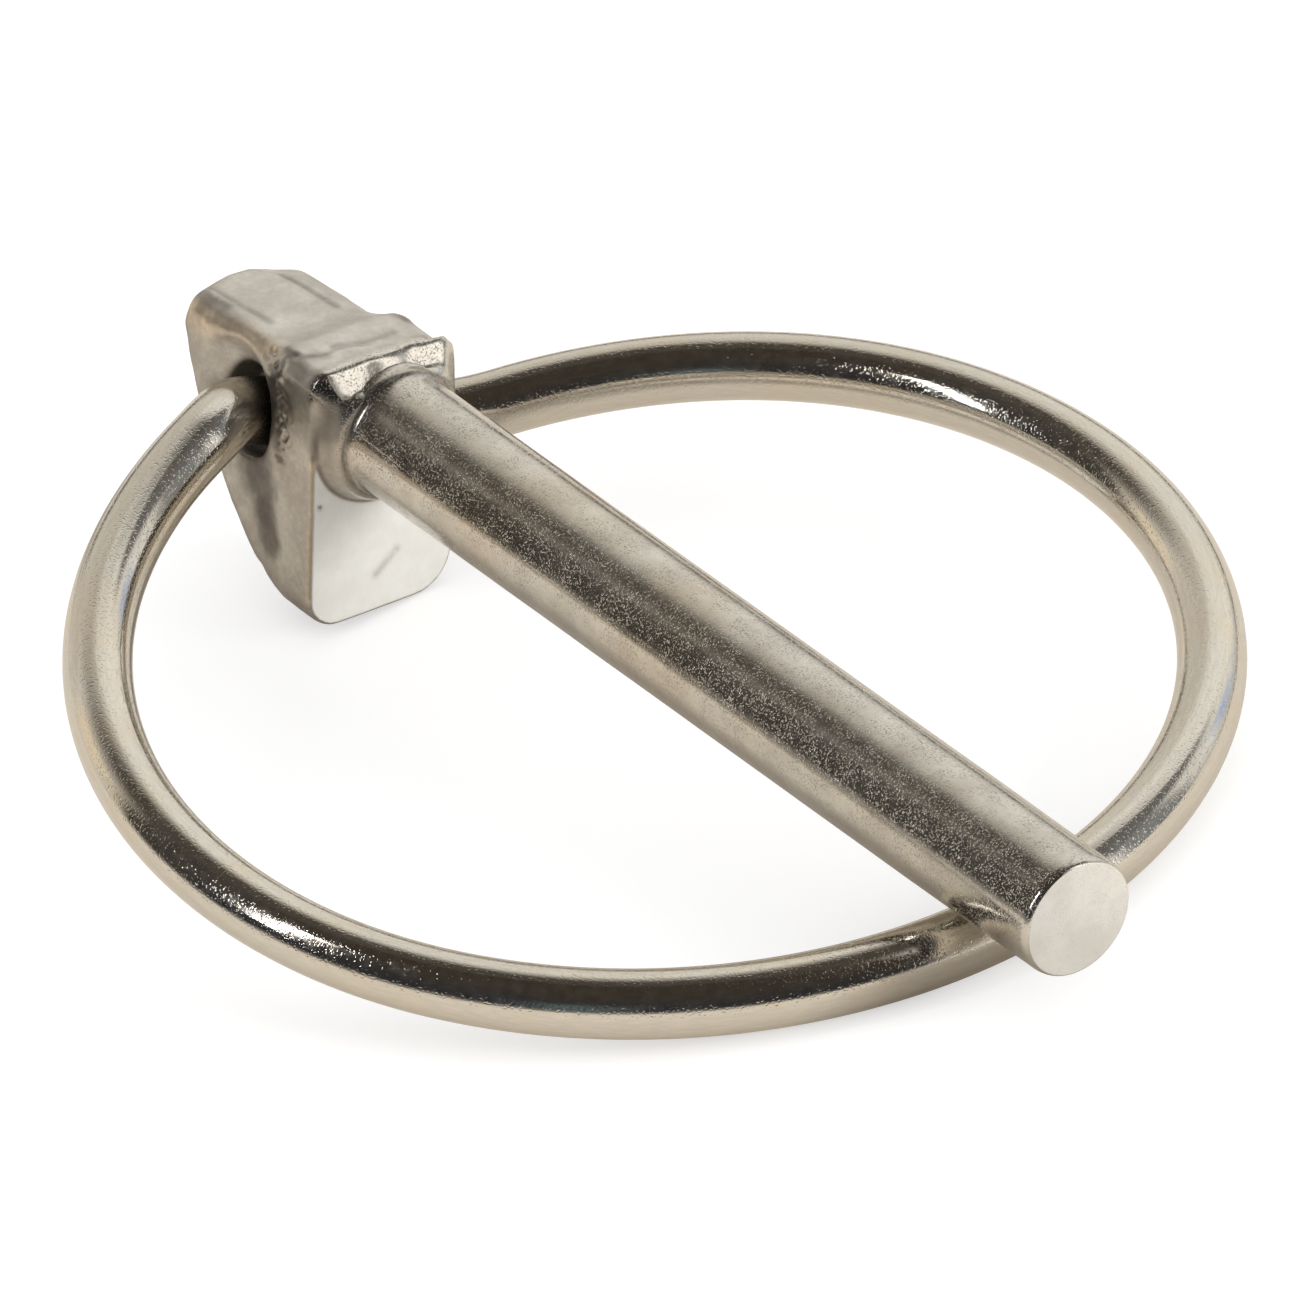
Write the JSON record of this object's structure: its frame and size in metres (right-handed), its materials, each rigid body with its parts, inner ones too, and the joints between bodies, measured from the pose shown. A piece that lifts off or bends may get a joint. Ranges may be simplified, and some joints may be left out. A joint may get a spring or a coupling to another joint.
{
  "type": "lynch pin",
  "caption": "Forged steel lynch pin with a wedge-shaped head, heel and collar, and a sprung wire snap ring hinged in the head that closes under the round shank.",
  "frame": {"origin": "on the shank's axis, at the collar's face that the mating part stops against", "axes": "+X along the shank to its tip, +Z away from the heel, so that the ring closes on the -Z side of the shank, +Y across the head"},
  "size_m": [0.0674, 0.0558, 0.0147],
  "materials": {
    "pin": "worn bright zinc plate on forged steel",
    "ring": "bright zinc plate with a faint yellow cast on drawn spring wire"
  },
  "bodies": {
    "pin": {"pin": "pin"},
    "ring": {"ring": "ring"}
  },
  "joints": [
    {"name": "ring_hinge", "type": "hinge", "parent": "pin", "child": "ring", "pos_m": [-0.0068, 0, -0.00215], "axis": [0.1331, 0.947, -0.2924], "range_deg": [0, 345]}
  ]
}
